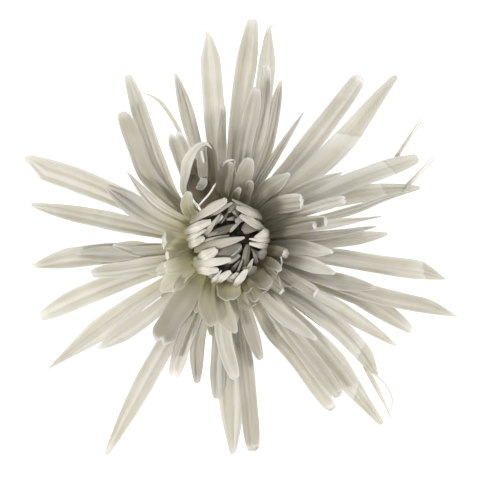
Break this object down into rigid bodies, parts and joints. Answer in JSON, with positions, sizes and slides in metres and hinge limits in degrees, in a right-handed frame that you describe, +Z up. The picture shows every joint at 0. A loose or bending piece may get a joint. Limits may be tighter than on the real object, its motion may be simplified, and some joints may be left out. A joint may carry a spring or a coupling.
{
  "type": "spider chrysanthemum",
  "caption": "Cut head of a spider chrysanthemum, face up: long drooping ray florets round a heart of incurved florets, green bracts and a short stem stub below",
  "frame": {"origin": "the middle of the footprint, on the surface that the flower head lies on", "axes": "+Z up through the face of the flower, +X to the right and +Y to the top as seen from straight above"},
  "size_m": [0.1284, 0.1294, 0.0424],
  "materials": {
    "stem_green": "matt green skin with fine ridges, pale pith at the cut",
    "bract_green": "matt grey-green with paler papery edges",
    "ray_white": "satin warm white, finely ribbed lengthwise, slightly translucent, olive green at the root",
    "heart_cream": "satin cream, smooth rounded backs"
  },
  "bodies": {
    "root": {"stem": "stem_green", "involucre": "bract_green", "bloom": "ray_white", "heart": "heart_cream"}
  },
  "joints": []
}
